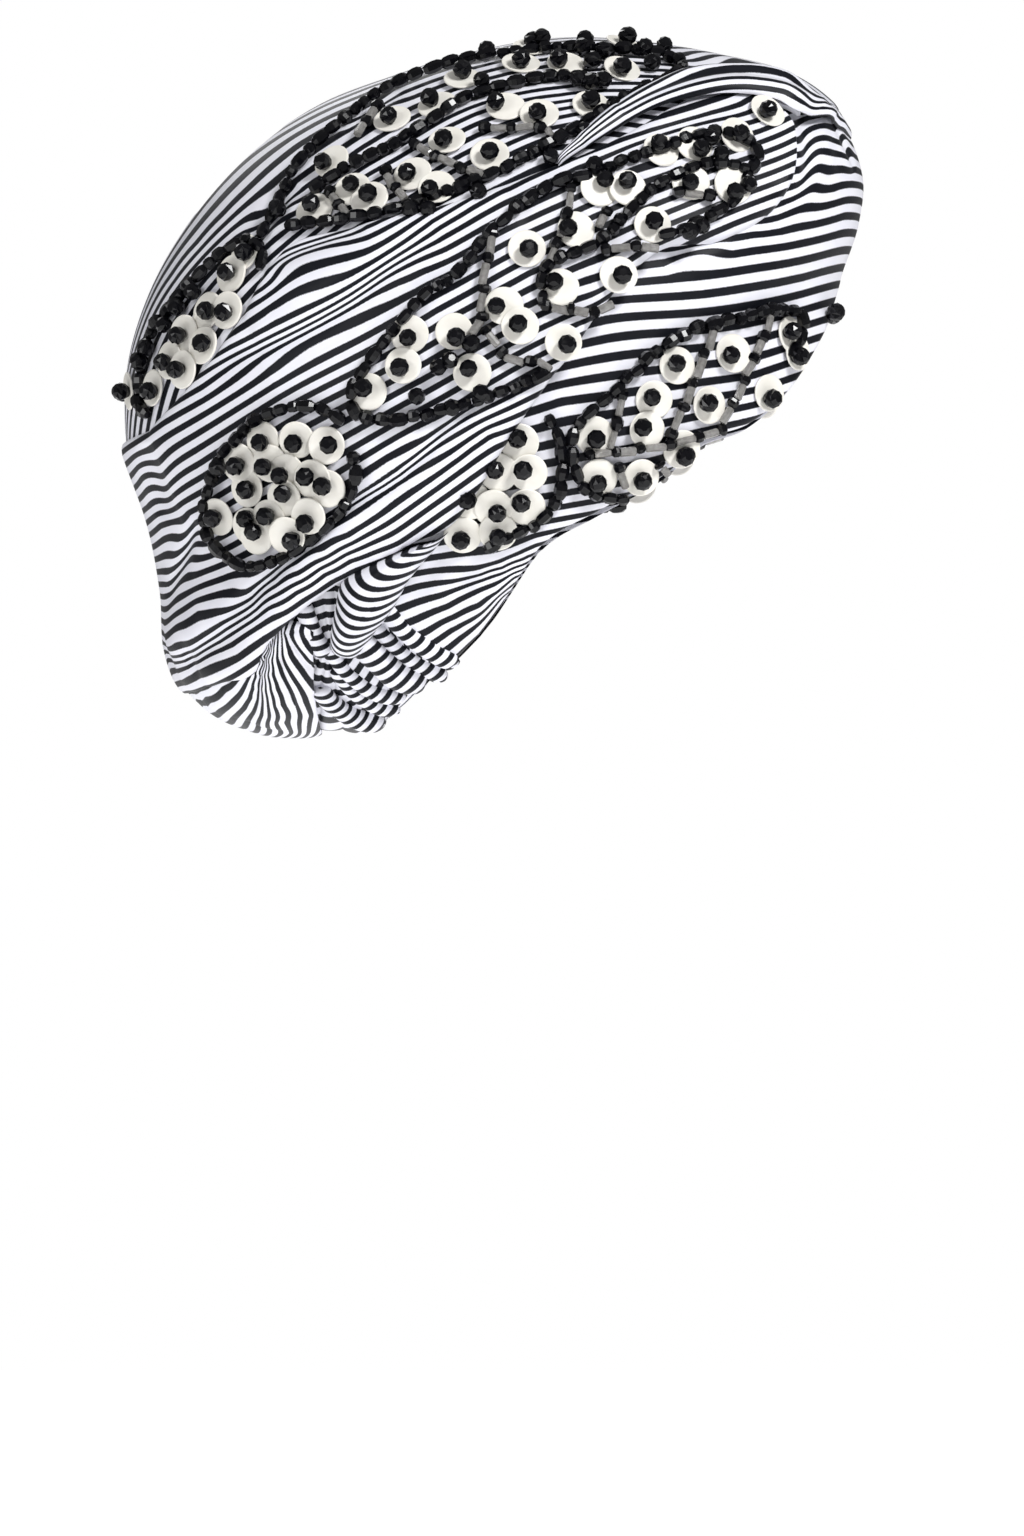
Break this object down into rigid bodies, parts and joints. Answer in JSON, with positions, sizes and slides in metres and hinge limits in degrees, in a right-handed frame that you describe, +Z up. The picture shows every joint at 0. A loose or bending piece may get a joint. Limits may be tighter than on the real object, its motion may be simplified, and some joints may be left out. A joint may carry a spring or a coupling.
{
  "type": "turban headwrap",
  "caption": "Wrapped turban of striped satin with layered folds, gathered nape, and leaf-shaped fields of sequins and beads.",
  "frame": {"origin": "where the crown of the head touches the inside of the wrap", "axes": "+Z up, +X towards the forehead, +Y towards the wearer's left"},
  "size_m": [0.2407, 0.189, 0.2247],
  "materials": {
    "striped_satin": "satin cloth in dark and white stripes",
    "bead_glass": "faceted black glass beads",
    "sequin": "pearly flat sequin"
  },
  "bodies": {
    "root": {"back_pouch": "striped_satin", "bead_string_back_left": "bead_glass", "bead_string_back_right": "bead_glass", "bead_string_crown_left": "bead_glass", "bead_string_crown_right": "bead_glass", "bead_string_drop_left": "bead_glass", "bead_string_drop_right": "bead_glass", "bead_string_low_left": "bead_glass", "bead_string_low_right": "bead_glass", "bead_string_side_left": "bead_glass", "bead_string_side_right": "bead_glass", "bead_string_temple_left": "bead_glass", "bead_string_temple_right": "bead_glass", "crown_wrap": "striped_satin", "front_band": "striped_satin", "nape_gather": "striped_satin", "sequin_back_1": "sequin", "sequin_back_2": "sequin", "sequin_back_3": "sequin", "sequin_crown_1": "sequin", "sequin_crown_2": "sequin", "sequin_crown_3": "sequin", "sequin_crown_4": "sequin", "sequin_crown_5": "sequin", "sequin_crown_6": "sequin", "sequin_drop_1": "sequin", "sequin_drop_2": "sequin", "sequin_drop_3": "sequin", "sequin_drop_4": "sequin", "sequin_drop_5": "sequin", "sequin_drop_6": "sequin", "sequin_low_1": "sequin", "sequin_low_2": "sequin", "sequin_low_3": "sequin", "sequin_side_1": "sequin", "sequin_side_2": "sequin", "sequin_side_3": "sequin", "sequin_side_4": "sequin", "sequin_side_5": "sequin", "sequin_side_6": "sequin", "sequin_side_7": "sequin", "sequin_temple_1": "sequin", "sequin_temple_2": "sequin", "sequin_temple_3": "sequin", "sequin_temple_4": "sequin", "sequin_temple_5": "sequin", "side_wrap": "striped_satin", "top_roll": "striped_satin", "under_roll_left": "striped_satin", "under_roll_right": "striped_satin"}
  },
  "joints": []
}
